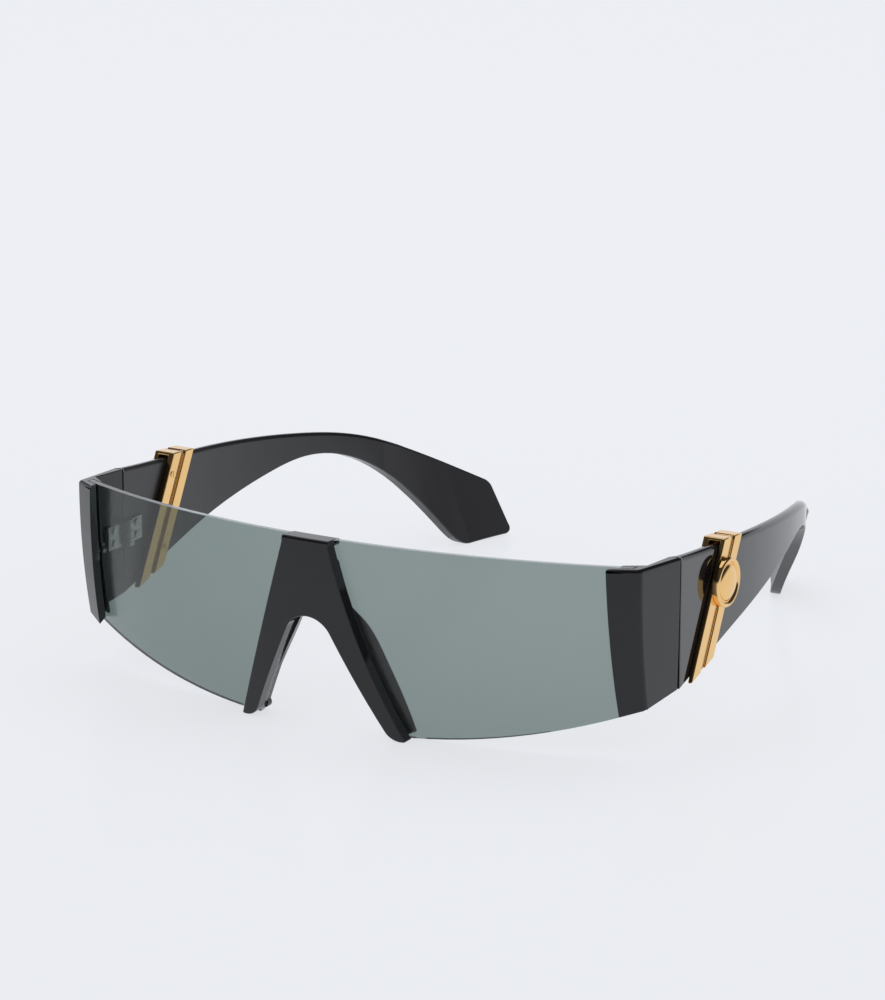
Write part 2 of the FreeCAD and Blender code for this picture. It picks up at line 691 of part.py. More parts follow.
# Rivets of the leaves: a flat head on the leaf's inner side and a shank sunk in the plastic.
TO_OUT = FreeCAD.Rotation(Y_AXIS, 90)
LEAF_FACE = INNER + " - sizes.leaf_thick"
rivet_places = []
for part_name, sign in (("front", "-"), ("rear", "+")):
    for level, step in (("upper", "+"), ("lower", "-")):
        spot = ("%s_rivet_%s" % (part_name, level), "%s %s sizes.rivet_reach" % (PIN_Y, sign),
                "%s %s sizes.rivet_pitch / 2" % (HINGE_RISE, step))
        rivet_places.append(spot)
rivets = {}
rivet_holes = {}
for rivet_name, along, rise in rivet_places:
    head = rod(rivet_name + "_head", ref("rivet_head_radius"), ref("rivet_head_tall"), TO_OUT,
               (LEAF_FACE + " - sizes.rivet_head_tall", along, rise))
    shank = rod(rivet_name + "_shank", ref("rivet_radius"),
                "sizes.leaf_thick + sizes.rivet_deep + sizes.rivet_head_tall / 2", TO_OUT,
                (LEAF_FACE + " - sizes.rivet_head_tall / 2", along, rise))
    rivets[rivet_name] = fuse(rivet_name + "_solid", head, shank)
    rivet_holes[rivet_name] = rod(rivet_name + "_hole", "sizes.rivet_radius + sizes.screw_clear / 2",
                                  "sizes.leaf_thick + sizes.rivet_deep + sizes.screw_clear", TO_OUT,
                                  (LEAF_FACE + " - sizes.screw_clear / 2", along, rise))
front_rivet_holes = [rivet_holes["front_rivet_upper"], rivet_holes["front_rivet_lower"]]
rear_rivet_holes = [rivet_holes["rear_rivet_upper"], rivet_holes["rear_rivet_lower"]]
front_hinge = cut("front_hinge", front_body, bore, *front_rivet_holes)
rear_hinge = cut("rear_hinge", rear_body, bore, *rear_rivet_holes)


# Slotted screws, made along Z with the head's seat at zero, then placed.
def screw_solid(name, shank, long, head, tall, place):
    """Slotted screw of bound sizes at a place."""
    shank_rod = rod(name + "_shank", shank, "%s + %s / 2" % (long, tall), base=("0", "0", "-(%s)" % long))
    head_rod = rod(name + "_head", head, tall)
    groove = box(name + "_groove", ("-2 * " + head, "2 * " + head),
                 ("-sizes.screw_slot / 2", "sizes.screw_slot / 2"), (tall + " / 2", "2 * " + tall))
    solid = cut(name, fuse(name + "_body", shank_rod, head_rod), groove)
    solid.Placement = place
    return solid


def screw_hole(name, shank, long, head, tall, place):
    """Clearance space for such a screw, with a counterbore above its seat."""
    hole = rod(name + "_bore", "%s + sizes.screw_clear" % shank, "%s + sizes.screw_clear + %s" % (long, tall),
               base=("0", "0", "-(%s) - sizes.screw_clear" % long))
    sink = rod(name + "_sink", "%s + sizes.screw_clear" % head, "4 * " + tall)
    solid = fuse(name, hole, sink)
    solid.Placement = place
    return solid


def lens_place(x, z, depth):
    """Place on the lens's normal, at a depth behind its front face, with the head towards the rear."""
    radius_here = val("lens_radius")
    y = CENTRE.y - math.sqrt(radius_here ** 2 - x ** 2 - (z - CENTRE.z) ** 2)
    normal = V(x, y, z) - CENTRE
    normal.normalize()
    return FreeCAD.Placement(CENTRE + normal * (radius_here - depth), FreeCAD.Rotation(Z_AXIS, normal * -1))


hinge_rise = (rim_at(seam_y) + val("seam_bottom_rise")) / 2 - val("hinge_drop")
end_screw_half = LENS_HALF - val("end_screw_inset")
end_place = lens_place(end_screw_half, hinge_rise, val("lens_thick") + val("end_screw_seat"))
END_LONG = "sizes.lens_thick + sizes.end_screw_seat + sizes.screw_grip"
HEAD = (ref("screw_head_radius"), ref("screw_head_tall"))
end_screw = screw_solid("end_screw", ref("screw_radius"), END_LONG, *HEAD, end_place)
end_hole = screw_hole("end_hole", ref("screw_radius"), END_LONG, *HEAD, end_place)
end_hole_left = mirror("end_hole_left", end_hole)

bridge_place = lens_place(val("bridge_screw_half"), val("rim_rise") - val("bridge_screw_drop"),
                          val("lens_thick") + val("bridge_screw_seat"))
BRIDGE_LONG = "sizes.lens_thick + sizes.bridge_screw_seat + sizes.screw_grip"
bridge_screw = screw_solid("bridge_screw", ref("screw_radius"), BRIDGE_LONG, *HEAD, bridge_place)
bridge_hole = screw_hole("bridge_hole", ref("screw_radius"), BRIDGE_LONG, *HEAD, bridge_place)
bridge_hole_left = mirror("bridge_hole_left", bridge_hole)

# Clip, right: two leaning bars and a thinner web between them, hooked over the temple's top.
top_fall = (top_run[0][1] - top_run[1][1]) / (top_run[1][0] - top_run[0][0])
low_lift = (low_run[1][1] - low_run[0][1]) / (low_run[1][0] - low_run[0][0])


def temple_top(y):
    """Height of the temple's upper edge along the clip."""
    return high - top_fall * (y - start_y)


def temple_low(y):
    """Height of the temple's lower edge along the clip."""
    return low + low_lift * (y - start_y)


def lean_point(offset, level, rise):
    """Where a leaning line, offset along Y, meets an edge of the temple moved up by rise."""
    base_z = temple_low(clip_low_y)
    y = clip_low_y + offset
    for _ in range(30):
        y = clip_low_y + offset + clip_lean * (level(y) + rise - base_z)
    return (y, level(y) + rise)


def clip_slab(name, start, stop, top_rise, out, inside):
    """Leaning slab across the temple, between two offsets along Y."""
    drop = -val("clip_overhang")
    corners = [lean_point(start, temple_low, drop), lean_point(stop, temple_low, drop),
               lean_point(stop, temple_top, top_rise), lean_point(start, temple_top, top_rise)]
    sketch = outline(name + "_outline", SIDE, polygon(corners), V(inner_half, 0, 0))
    return extrude(name, sketch, X_AXIS, "sizes.temple_thick + " + out, inside)


top_gap = val("clip_top_gap")
bar_top = top_gap + val("clip_top")
web_top = top_gap + val("clip_web_top")
rear_start = bar + groove_wide
front_bar = clip_slab("clip_front_bar", 0, bar, bar_top, ref("clip_out"), ref("clip_in"))
rear_bar = clip_slab("clip_rear_bar", rear_start, rear_start + bar, bar_top, ref("clip_out"), ref("clip_in"))
web = clip_slab("clip_web", bar / 2, rear_start + bar / 2, web_top, ref("clip_web_out"), ref("clip_web_in"))
room_front = start_y - bar
room_edges = polygon([(room_front, -bar), (bend_y, -bar), (bend_y, temple_top(bend_y) + top_gap),
                      (room_front, temple_top(room_front) + top_gap)])
room_outline = outline("clip_room_outline", SIDE, room_edges, V(inner_half, 0, 0))
room = extrude("clip_room", room_outline, X_AXIS, ref("temple_thick"))
clip_blank = cut("clip_blank", fuse("clip_body", front_bar, rear_bar, web), room)

clip_screws = {}
clip_holes = []
TO_IN = FreeCAD.Rotation(Y_AXIS, -90)
CLIP_LONG = "sizes.clip_in + sizes.clip_screw_grip"
CLIP_SCREW = (ref("clip_screw_radius"), CLIP_LONG, ref("clip_screw_head_radius"), ref("clip_screw_head_tall"))
clip_spots = (("clip_screw_upper", lean_point(bar / 2, temple_top, -val("clip_screw_drop"))),
              ("clip_screw_lower", lean_point(rear_start + bar / 2, temple_low, val("clip_screw_lift"))))
for screw_name, (spot_y, spot_z) in clip_spots:
    place = FreeCAD.Placement(V(inner_half - val("clip_in"), spot_y, spot_z), TO_IN)
    clip_screws[screw_name] = screw_solid(screw_name, *CLIP_SCREW, place)
    clip_holes.append(screw_hole(screw_name + "_hole", *CLIP_SCREW, place))

# Plain round boss on the clip's outer bars: a disc with a raised rim and a low dome.
boss_y, boss_z = lean_point(bar + groove_wide / 2, temple_top, -val("boss_drop"))
boss_r = val("boss_radius")
disc = val("boss_thick")
rim_in = boss_r - val("boss_rim")
rim_tall = disc + val("boss_rim_tall")
dome = disc + val("boss_dome_tall")
rim_mid = boss_r - val("boss_rim") / 2
dome_round = (rim_in ** 2 + (dome - disc) ** 2) / (2 * (dome - disc))
dome_mid = (rim_in / 2, dome - dome_round + math.sqrt(dome_round ** 2 - rim_in ** 2 / 4))
boss_edges = [line((0, 0), (boss_r, 0)), line((boss_r, 0), (boss_r, disc)),
              arc((boss_r, disc), (rim_mid, rim_tall), (rim_in, disc)),
              arc((rim_in, disc), dome_mid, (0, dome)), line((0, dome), (0, 0))]
boss_sketch = outline("boss_outline", FRONT, boss_edges)
boss = doc.addObject("Part::Revolution", "boss")
boss.Source = boss_sketch
boss.Axis = Z_AXIS
boss.Base = V(0, 0, 0)
boss.Angle = 360
boss.Solid = True
boss.Placement = FreeCAD.Placement(V(SEAM_HALF + val("clip_out"), boss_y, boss_z), TO_OUT)

# Finished sub-parts.
bridge_holes = [bridge_hole, bridge_hole_left]
node("shield_lens", cut("shield_lens", lens_blank, cap_block, end_hole, end_hole_left, *bridge_holes))
node("bridge_front", cut("bridge_front", bridge_blank, *bridge_holes))
node("nose_saddle", cut("nose_saddle", saddle_blank, *bridge_holes))
pair("end_piece", cut("end_piece", end_block, slot, end_hole, *front_rivet_holes))
pair("temple", cut("temple", temple_block, *rear_rivet_holes, *clip_holes))
pair("front_hinge", front_hinge)
pair("rear_hinge", rear_hinge)
pair("hinge_pin", pin)
for rivet_name, along, rise in rivet_places:
    pair(rivet_name, rivets[rivet_name])
pair("end_screw", end_screw)
pair("bridge_screw", bridge_screw)
pair("clip", cut("clip", clip_blank, *clip_holes))
for screw_name, screw in clip_screws.items():
    pair(screw_name, screw)
pair("boss", boss)

doc.recompute()
for item in doc.Objects:
    if "Invalid" in item.State or "Error" in item.State:
        raise RuntimeError("%s did not rebuild" % item.Name)
for item in NODES:
    if item.Shape.isNull() or not item.Shape.isValid() or len(item.Shape.Solids) != 1:
        raise RuntimeError("%s is not one valid solid" % item.Label)

os.makedirs("parts", exist_ok=True)
for item in NODES:
    item.Shape.exportStep(os.path.join("parts", item.Label + ".step"))
    span = item.Shape.BoundBox
    print("%-24s x %7.2f %7.2f  y %7.2f %7.2f  z %7.2f %7.2f  volume %9.2f" % (
        item.Label, span.XMin, span.XMax, span.YMin, span.YMax, span.ZMin, span.ZMax, item.Shape.Volume))
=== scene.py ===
# %% [markdown]
# # Shield sunglasses
# One grey lens runs across the whole face. A black bridge plate stands on it, two black end pieces
# close its corners, and two broad temples fold on small hinges. A gold clip with a round boss grips
# each temple. The CAD model is loaded as a fixed frame, and this lesson dresses it.

# %% Load the frame
import math

import bmesh
import bpy
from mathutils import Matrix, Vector


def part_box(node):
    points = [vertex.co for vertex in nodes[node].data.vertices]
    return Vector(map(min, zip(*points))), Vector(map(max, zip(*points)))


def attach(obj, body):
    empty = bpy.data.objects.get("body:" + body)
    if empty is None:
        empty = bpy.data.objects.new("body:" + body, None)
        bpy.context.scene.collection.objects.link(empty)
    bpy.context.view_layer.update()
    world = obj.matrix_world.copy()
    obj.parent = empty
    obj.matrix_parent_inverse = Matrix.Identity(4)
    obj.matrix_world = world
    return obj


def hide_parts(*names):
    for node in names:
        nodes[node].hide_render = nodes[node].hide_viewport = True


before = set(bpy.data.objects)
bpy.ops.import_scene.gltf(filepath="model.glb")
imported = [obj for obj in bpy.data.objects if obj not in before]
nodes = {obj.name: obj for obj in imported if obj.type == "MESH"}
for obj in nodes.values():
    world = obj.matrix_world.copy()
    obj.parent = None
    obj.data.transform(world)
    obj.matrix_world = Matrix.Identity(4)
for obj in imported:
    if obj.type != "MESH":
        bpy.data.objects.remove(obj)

MM = 0.001
X, Y, Z = range(3)
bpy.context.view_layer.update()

# %% [markdown]
# ## Camera
# The photograph looks from the front right, a little from above, through a long lens. Blender's
# camera takes a place, three angles and a focal length. A camera at azimuth 0 looks along +Y, so the
# azimuth is its turn about Z, and tipping it down by the elevation takes that from a right angle.

# %% Camera at the photograph's view
AZIMUTH = math.radians(29.676)
ELEVATION = math.radians(15.917)
eye = bpy.data.cameras.new("studio_camera")
eye.lens = 151.18
eye.sensor_width = 36.0
eye.clip_end = 50.0
camera = bpy.data.objects.new("studio_camera", eye)
camera.location = (0.45793, -0.82316, 0.30294)
camera.rotation_euler = (math.pi / 2 - ELEVATION, 0.0, AZIMUTH)
bpy.context.scene.collection.objects.link(camera)
bpy.context.scene.camera = camera
bpy.context.scene.view_settings.view_transform = "Standard"
print("camera", [round(c, 3) for c in camera.location], "lens", eye.lens)

# %% [markdown]
# ## A small language for finishes
# A finish is a graph of nodes. Wiring it by hand is long, so one class wraps a node's output socket
# and lets Python's own operators add Math nodes: `1 - mask` or `noise * 0.02 + 0.06` read as they
# are meant. Everything else comes from one method that adds a node, sets it up and links it.

# %% Sockets that can be added and multiplied
class Wire:
    """An output socket that takes part in Python arithmetic."""

    def __init__(self, finish, socket):
        self.finish = finish
        self.socket = socket

    def math(self, operation, *values):
        return self.finish.add("ShaderNodeMath", {"operation": operation}, dict(enumerate(values)))

    def __add__(self, other):
        return self.math("ADD", self, other)

    def __rsub__(self, other):
        return self.math("SUBTRACT", other, self)

    def __mul__(self, other):
        return self.math("MULTIPLY", self, other)

    def clamped(self, low, high):
        return self.finish.add("ShaderNodeClamp", {}, {"Value": self, "Min": low, "Max": high})


class Finish:
    """The node tree of a material or of the world, built call by call."""

    def __init__(self, owner, place="Object"):
        self.owner = owner
        owner.use_nodes = True
        self.tree = owner.node_tree
        self.tree.nodes.clear()
        self.place = self.add("ShaderNodeTexCoord", {}, {}, place)

    def add(self, kind, settings, inputs, output=0):
        """Adds a node with its settings, and links or sets its inputs."""
        node = self.tree.nodes.new(kind)
        for key, value in settings.items():
            setattr(node, key, value)
        for key, value in inputs.items():
            if isinstance(value, Wire):
                self.tree.links.new(value.socket, node.inputs[key])
            else:
                node.inputs[key].default_value = value
        return Wire(self, node.outputs[output])

    def stretched(self, x, y, z):
        """The object's own coordinates, with each axis scaled."""
        return self.add("ShaderNodeMapping", {}, {"Vector": self.place, "Scale": (x, y, z)})

    def noise(self, where, scale, detail):
        return self.add("ShaderNodeTexNoise", {}, {"Vector": where, "Scale": scale, "Detail": detail})

    def blend(self, factor, first, second):
        settings = {"data_type": "RGBA"}
        return self.add("ShaderNodeMix", settings, {0: factor, 6: first, 7: second}, 2)

    def eased(self, value, start, end):
        """0 below the start, 1 above the end, and a soft step between."""
        inputs = {"Value": value, "From Min": start, "From Max": end}
        return self.add("ShaderNodeMapRange", {"interpolation_type": "SMOOTHSTEP"}, inputs)

    def bump(self, height, depth):
        return self.add("ShaderNodeBump", {}, {"Height": height, "Strength": 1.0, "Distance": depth})

    def shade(self, **inputs):
        """Adds the Principled shader and the output."""
        sockets = {key.replace("_", " "): value for key, value in inputs.items()}
        shader = self.add("ShaderNodeBsdfPrincipled", {}, sockets)
        self.add_output(shader)
        return self.owner

    def add_output(self, shader, kind="ShaderNodeOutputMaterial", volume=None):
        end = self.tree.nodes.new(kind)
        self.tree.links.new(shader.socket, end.inputs["Surface"])
        if volume:
            self.tree.links.new(volume.socket, end.inputs["Volume"])


print("finish language ready")

# %% [markdown]
# ## Floor, light and surroundings
# The object lies on a pale sheet in a white studio. Black gloss shows only what stands around it, so
# the surroundings matter more than the lamps. The sheet sweeps up behind the object, and the ceiling
# and the rest of the room are dim: that leaves dark lines along the upper edges, as in the photograph.
# One broad lamp overhead gives the soft shadow. The sheet is far wider than the view, so no edge of it
# shows from any side.

# %% Floor
FLOOR_SIDE = 40.0
FLOOR_COLOUR = (0.855, 0.871, 0.905, 1.0)
GLOW_SHARE = 0.78
bpy.ops.object.select_all(action="DESELECT")
bpy.ops.mesh.primitive_plane_add(size=FLOOR_SIDE, location=(0.0, 0.0, 0.0))
floor = bpy.context.object
floor.name = "studio_floor"
sheet = Finish(bpy.data.materials.new("studio_sheet"))
sheet_grain = sheet.noise(sheet.place, scale=900.0, detail=3.0)
paper = sheet.add("ShaderNodeBsdfPrincipled", {}, {
    "Base Color": FLOOR_COLOUR, "Roughness": sheet_grain * 0.06 + 0.16, "IOR": 1.3})
glow = sheet.add("ShaderNodeEmission", {}, {"Color": FLOOR_COLOUR, "Strength": 1.0})
seen = sheet.add("ShaderNodeLightPath", {}, {}, "Is Camera Ray")
in_mirror = sheet.add("ShaderNodeLightPath", {}, {}, "Is Glossy Ray")
looked_through = sheet.add("ShaderNodeLightPath", {}, {}, "Is Transmission Ray")
share = (seen + in_mirror + looked_through).clamped(0.0, 1.0) * GLOW_SHARE
sheet.add_output(sheet.add("ShaderNodeMixShader", {}, {0: share, 1: paper, 2: glow}))
floor.data.materials.append(sheet.owner)
print("floor", floor.name, "side", FLOOR_SIDE)

# %% World and lamp
SWEEP_WAY = (-0.48, 0.87, 0.14)
SWEEP_LIGHT = 0.86
ROOM_LIGHT = 0.05
room = Finish(bpy.data.worlds.new("studio_surround"), "Generated")
bpy.context.scene.world = room.owner
even = room.add("ShaderNodeBackground", {}, {"Color": (0.90, 0.915, 0.945, 1.0), "Strength": 0.92})
height = room.add("ShaderNodeSeparateXYZ", {}, {0: room.place}, "Z")
toward_sweep = room.add("ShaderNodeVectorMath", {"operation": "DOT_PRODUCT"},
                        {0: room.place, 1: SWEEP_WAY}, "Value")
sweep = room.eased(toward_sweep, start=0.40, end=0.85)
above_sheet = room.eased(height, start=0.0, end=0.28)
ceiling = room.eased(height, start=0.27, end=0.38)
reflected = (1 - above_sheet * (1 - sweep)) * (1 - ceiling) * SWEEP_LIGHT + ROOM_LIGHT
dim = room.add("ShaderNodeBackground", {}, {"Color": (0.92, 0.92, 0.98, 1.0), "Strength": reflected})
in_gloss = room.add("ShaderNodeLightPath", {}, {}, "Is Glossy Ray")
room.add_output(room.add("ShaderNodeMixShader", {}, {0: in_gloss, 1: even, 2: dim}), "ShaderNodeOutputWorld")

lamp_data = bpy.data.lights.new("overhead_softbox", "AREA")
lamp_data.shape = "DISK"
lamp_data.size = 1.2
lamp_data.energy = 3.0
lamp = bpy.data.objects.new("overhead_softbox", lamp_data)
lamp.location = (-0.25, 0.30, 1.30)
lamp.rotation_euler = (math.radians(-13), math.radians(-11), 0.0)
bpy.context.scene.collection.objects.link(lamp)
print("lamp", lamp_data.energy, "W")

# %% [markdown]
# ## Finishes
# The black plastic takes four finishes: a polish on the bridge and end pieces, a glossier lacquer on the
# temples' outer faces, and two satins, one on the temples' inner faces and one on the saddle. The lens is
# smoke grey with a faint haze, the clips and bosses are gold plate, and the hinges and screws are steel.

# %% Polished black
def polished_black(name, index, least_rough):
    """Black plastic with a faint ripple, as glossy as its index and roughness make it."""
    finish = Finish(bpy.data.materials.new(name))
    haze = finish.noise(finish.place, scale=60.0, detail=4.0)
    ripple = finish.noise(finish.place, scale=260.0, detail=2.0)
    colour = finish.blend(haze, (0.005, 0.005, 0.006, 1.0), (0.009, 0.009, 0.011, 1.0))
    return finish.shade(Base_Color=colour, Roughness=haze * 0.04 + least_rough, IOR=index,
                        Normal=finish.bump(ripple, depth=0.004 * MM))


black = polished_black("polished_black", index=1.45, least_rough=0.02)
temple_black = polished_black("lacquered_black", index=1.90, least_rough=0.03)
temple_satin = polished_black("satin_inner_face", index=1.65, least_rough=0.30)
print("finishes", black.name, temple_black.name, temple_satin.name)

# %% Smoke lens
def smoke_lens():
    """Clear tinted plastic: a hazy coat outside and an absorbing volume inside."""
    finish = Finish(bpy.data.materials.new("smoke_lens"))
    cloud = finish.noise(finish.place, scale=14.0, detail=2.0)
    tint = finish.blend(cloud, (0.553, 0.604, 0.594, 1.0), (0.578, 0.626, 0.617, 1.0))
    shell = finish.add("ShaderNodeBsdfPrincipled", {}, {
        "Base Color": tint, "Roughness": 0.0, "IOR": 1.15, "Transmission Weight": 0.98, "Coat Weight": 1.0,
        "Coat Roughness": 0.32, "Coat IOR": 1.5})
    depth = finish.add("ShaderNodeVolumeAbsorption", {}, {"Color": (0.29, 0.40, 0.37, 1.0), "Density": 570.0})
    finish.add_output(shell, volume=depth)
    return finish.owner


lens_tint = smoke_lens()
print("finish", lens_tint.name)

# %% Satin saddle
def satin_black():
    """Fine-grained black plastic with a low shine."""
    finish = Finish(bpy.data.materials.new("satin_black"))
    grain = finish.noise(finish.place, scale=700.0, detail=3.0)
    colour = finish.blend(grain, (0.009, 0.009, 0.010, 1.0), (0.014, 0.014, 0.016, 1.0))
    return finish.shade(Base_Color=colour, Roughness=grain * 0.12 + 0.26, IOR=1.52,
                        Normal=finish.bump(grain, depth=0.003 * MM))


satin = satin_black()
print("finish", satin.name)

# %% Gold plate
def gold_plate():
    """Polished plate with faint lines across the temple and a slight cloud in its colour."""
    finish = Finish(bpy.data.materials.new("gold_plate"))
    lines = finish.noise(finish.stretched(1.0, 40.0, 1.0), scale=60.0, detail=3.0)
    cloud = finish.noise(finish.place, scale=90.0, detail=2.0)
    colour = finish.blend(cloud, (0.91, 0.565, 0.225, 1.0), (0.96, 0.645, 0.285, 1.0))
    return finish.shade(Base_Color=colour, Metallic=1.0, Roughness=lines * 0.06 + 0.04,
                        Normal=finish.bump(lines, depth=0.003 * MM))


gold = gold_plate()
print("finish", gold.name)

# %% Hinge steel
def hinge_steel():
    """Steel with level lines left by the mill."""
    finish = Finish(bpy.data.materials.new("hinge_steel"))
    lines = finish.noise(finish.stretched(1.0, 1.0, 30.0), scale=120.0, detail=3.0)
    colour = finish.blend(lines, (0.50, 0.50, 0.49, 1.0), (0.62, 0.61, 0.59, 1.0))
    return finish.shade(Base_Color=colour, Metallic=1.0, Roughness=lines * 0.15 + 0.18,
                        Normal=finish.bump(lines, depth=0.006 * MM))


steel = hinge_steel()
print("finish", steel.name)

# %% Give every CAD node its finish
FINISHES = {"lens": lens_tint, "frame": black, "saddle": satin, "gold": gold, "hinge": steel, "screw": steel}
SLOTS = {"shield_lens": "lens", "bridge_front": "frame", "nose_saddle": "saddle", "end_piece": "frame",
         "temple": "frame", "end_screw": "screw", "bridge_screw": "screw", "clip": "gold", "boss": "gold",
         "front_hinge": "hinge", "rear_hinge": "hinge", "hinge_pin": "hinge", "front_rivet": "hinge",
         "rear_rivet": "hinge"}


def slot_of(node):
    """The finish that a node takes: that of the longest name it starts with."""
    return SLOTS[max((name for name in SLOTS if node.startswith(name)), key=len)]


for name, item in nodes.items():
    item.data.materials.clear()
    item.data.materials.append(FINISHES[slot_of(name)])
print("finishes on", len(nodes), "nodes")

# %% [markdown]
# ## Worked copies
# The CAD solids have the right shapes, but their edges are knife-sharp and their meshes are loose
# triangles, which show as creases in a polished face. Each visible part is therefore worked once more
# as a maker would: a copy is welded, cut across into even strips, cleared of the leftover triangles,
# and its edges are eased with a bevel. Modelling each part anew would risk moving it off its place.

# %% Weld, cut across and clear
WELD = 0.02 * MM
ON_CUT = 0.01 * MM
COPLANAR = 0.4


def lone_object(name, mesh):
    """A new object of a mesh, alone in the selection."""
    bpy.ops.object.select_all(action="DESELECT")
    piece = bpy.data.objects.new(name, mesh)
    bpy.context.scene.collection.objects.link(piece)
    bpy.context.view_layer.objects.active = piece
    piece.select_set(True)
    return piece


def edit_all():
    """Opens edit mode with everything selected."""
    bpy.ops.object.mode_set(mode="EDIT")
    bpy.ops.mesh.select_all(action="SELECT")


def worked_copy(node, name):
    """A welded copy of a CAD node."""
    piece = lone_object(name, nodes[node].data.copy())
    edit_all()
    bpy.ops.mesh.remove_doubles(threshold=WELD)
    bpy.ops.mesh.dissolve_degenerate(threshold=WELD)
    bpy.ops.object.mode_set(mode="OBJECT")
    return piece


def even_places(node, axis, count):
    """An axis, and places for cuts across a node that are evenly spread along it."""
    low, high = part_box(node)
    step = (high[axis] - low[axis]) / count
    return axis, [low[axis] + (i + 0.5) * step for i in range(count)]


def cut_across(axis, places):
    """Cuts the active mesh by planes square to an axis."""
    normal = [float(i == axis) for i in (X, Y, Z)]
    bpy.ops.object.mode_set(mode="EDIT")
    for place in places:
        bpy.ops.mesh.select_all(action="SELECT")
        bpy.ops.mesh.bisect(plane_co=[place * n for n in normal], plane_no=normal)
    bpy.ops.mesh.select_all(action="SELECT")
    bpy.ops.mesh.remove_doubles(threshold=WELD)
    bpy.ops.object.mode_set(mode="OBJECT")


def pick_edges(piece, wanted):
    """Opens edit mode with the wanted edges selected, and says how many they are."""
    bpy.ops.object.mode_set(mode="EDIT")
    bpy.ops.mesh.select_mode(type="EDGE")
    bpy.ops.mesh.select_all(action="DESELECT")
    mesh = bmesh.from_edit_mesh(piece.data)
    for edge in mesh.edges:
        edge.select_set(len(edge.link_faces) == 2 and wanted(edge))
    bmesh.update_edit_mesh(piece.data)
    return sum(edge.select for edge in mesh.edges)


def clear_triangles(piece, cuts, broad, limit):
    """Dissolves the flat edges that no cut made: up to a limit in the broad faces, coplanar in the rest."""
    def flat(edge):
        most = limit if all(map(broad, edge.link_faces)) else COPLANAR
        return edge.calc_face_angle(0) < math.radians(most)

    def on_cut(edge):
        first, second = (corner.co for corner in edge.verts)
        return any(abs(first[axis] - place) < ON_CUT and abs(second[axis] - place) < ON_CUT
                   for axis, places in cuts for place in places)

    count = pick_edges(piece, lambda e: flat(e) and not on_cut(e))
    bpy.ops.mesh.dissolve_edges(use_verts=True, use_face_split=False)
    bpy.ops.object.mode_set(mode="OBJECT")
    return count


def facing(axis):
    """A test for faces that look along an axis, either way."""
    return lambda face: abs(face.normal[axis]) > 0.5


def worked_strips(node, name, cuts, broad, limit):
    """A worked copy in even strips, with the limit for its broad faces in degrees."""
    piece = worked_copy(node, name)
    for axis, places in cuts:
        cut_across(axis, places)
    cleared = clear_triangles(piece, cuts, broad, limit)
    print(name, "cleared", cleared, "faces left", len(piece.data.polygons))
    return piece


print("worked copies ready")

# %% Ease the edges and hand a piece over
SHARP = math.radians(38)
SMOOTH = math.radians(32)
CROWDED = 0.08 * MM
OUTWARD = {"right": 1, "left": -1}


def middles(*names):
    """Middle points of the fasteners whose holes are left alone."""
    return [sum(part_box(name), Vector()) / 2 for name in names]


def middle_of(edge):
    return (edge.verts[0].co + edge.verts[1].co) / 2


def looks(edge, axis, least):
    """Whether one of the edge's faces looks along an axis; a negative share looks the other way."""
    return any(face.normal[axis] * math.copysign(1, least) > abs(least) for face in edge.link_faces)


def ease_edges(piece, width_of, holes=(), reach=0.0, segments=4):
    """Rounds edges with one bevel, each by its own width, and leaves those within reach of a hole.

    Points that crowd along the edges are welded first.
    """
    def wanted(edge):
        clear = all((middle_of(edge) - hole).length > reach for hole in holes)
        return edge.calc_face_angle(0) > SHARP and clear and width_of(edge) > 0

    pick_edges(piece, wanted)
    bpy.ops.mesh.remove_doubles(threshold=CROWDED)
    count = pick_edges(piece, wanted)
    mesh = bmesh.from_edit_mesh(piece.data)
    weight = mesh.edges.layers.float.new("bevel_weight_edge")
    widest = max(width_of(edge) for edge in mesh.edges if edge.select)
    for edge in mesh.edges:
        edge[weight] = width_of(edge) / widest if edge.select else 0.0
    bpy.ops.object.mode_set(mode="OBJECT")
    bpy.ops.object.modifier_add(type="BEVEL")
    bevel = piece.modifiers[-1]
    bevel.limit_method = "WEIGHT"
    bevel.width = widest
    bevel.segments = segments
    bevel.use_clamp_overlap = False
    bevel.loop_slide = False
    bpy.ops.object.modifier_apply(modifier=bevel.name)
    print(piece.name, "eased", count, "edges by up to", round(widest / MM, 2), "mm")


def hand_over(piece, body, slot, stands_for, look=None):
    """Smooths a piece, gives it its finish, and puts it on its body in place of a CAD node."""
    bpy.ops.object.shade_smooth_by_angle(angle=SMOOTH)
    bpy.ops.object.modifier_add(type="WEIGHTED_NORMAL")
    piece.modifiers[-1].keep_sharp = True
    bpy.ops.object.modifier_apply(modifier=piece.modifiers[-1].name)
    piece.data.materials.clear()
    piece.data.materials.append(look or FINISHES[slot])
    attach(piece, body)
    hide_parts(stands_for)
    print(piece.name, "rides", body, "triangles", sum(len(p.vertices) - 2 for p in piece.data.polygons))


print("edge tools ready")

# %% [markdown]
# ## Temples
# Each temple is a broad black blade that narrows to a waist and drops to a flat paddle behind the ear.
# On the real one the edges are tumbled round, most of all along the top, where a dark line shows the
# dim ceiling, and least at the seam. Strips run across the blade, so the long faces stay smooth, and
# one bevel with a width for each edge rounds them together. The holes are left alone. The inner faces
# are satin, because they aren't buffed as the outer ones are.

# %% Temples
TEMPLE_STRIPS = 60
PADDLE_STRIPS = 9
SEAM_ROUND = 0.15 * MM
SLIM_ROUND = 0.35 * MM
OUTER_TOP_ROUND = 1.25 * MM
INNER_TOP_ROUND = 1.05 * MM
SLIM_TIP = 17 * MM
TAPER = 16 * MM
INNER_FACE = -0.4
BLADE_FASTENERS = ("rear_rivet_upper_", "rear_rivet_lower_", "clip_screw_upper_", "clip_screw_lower_")


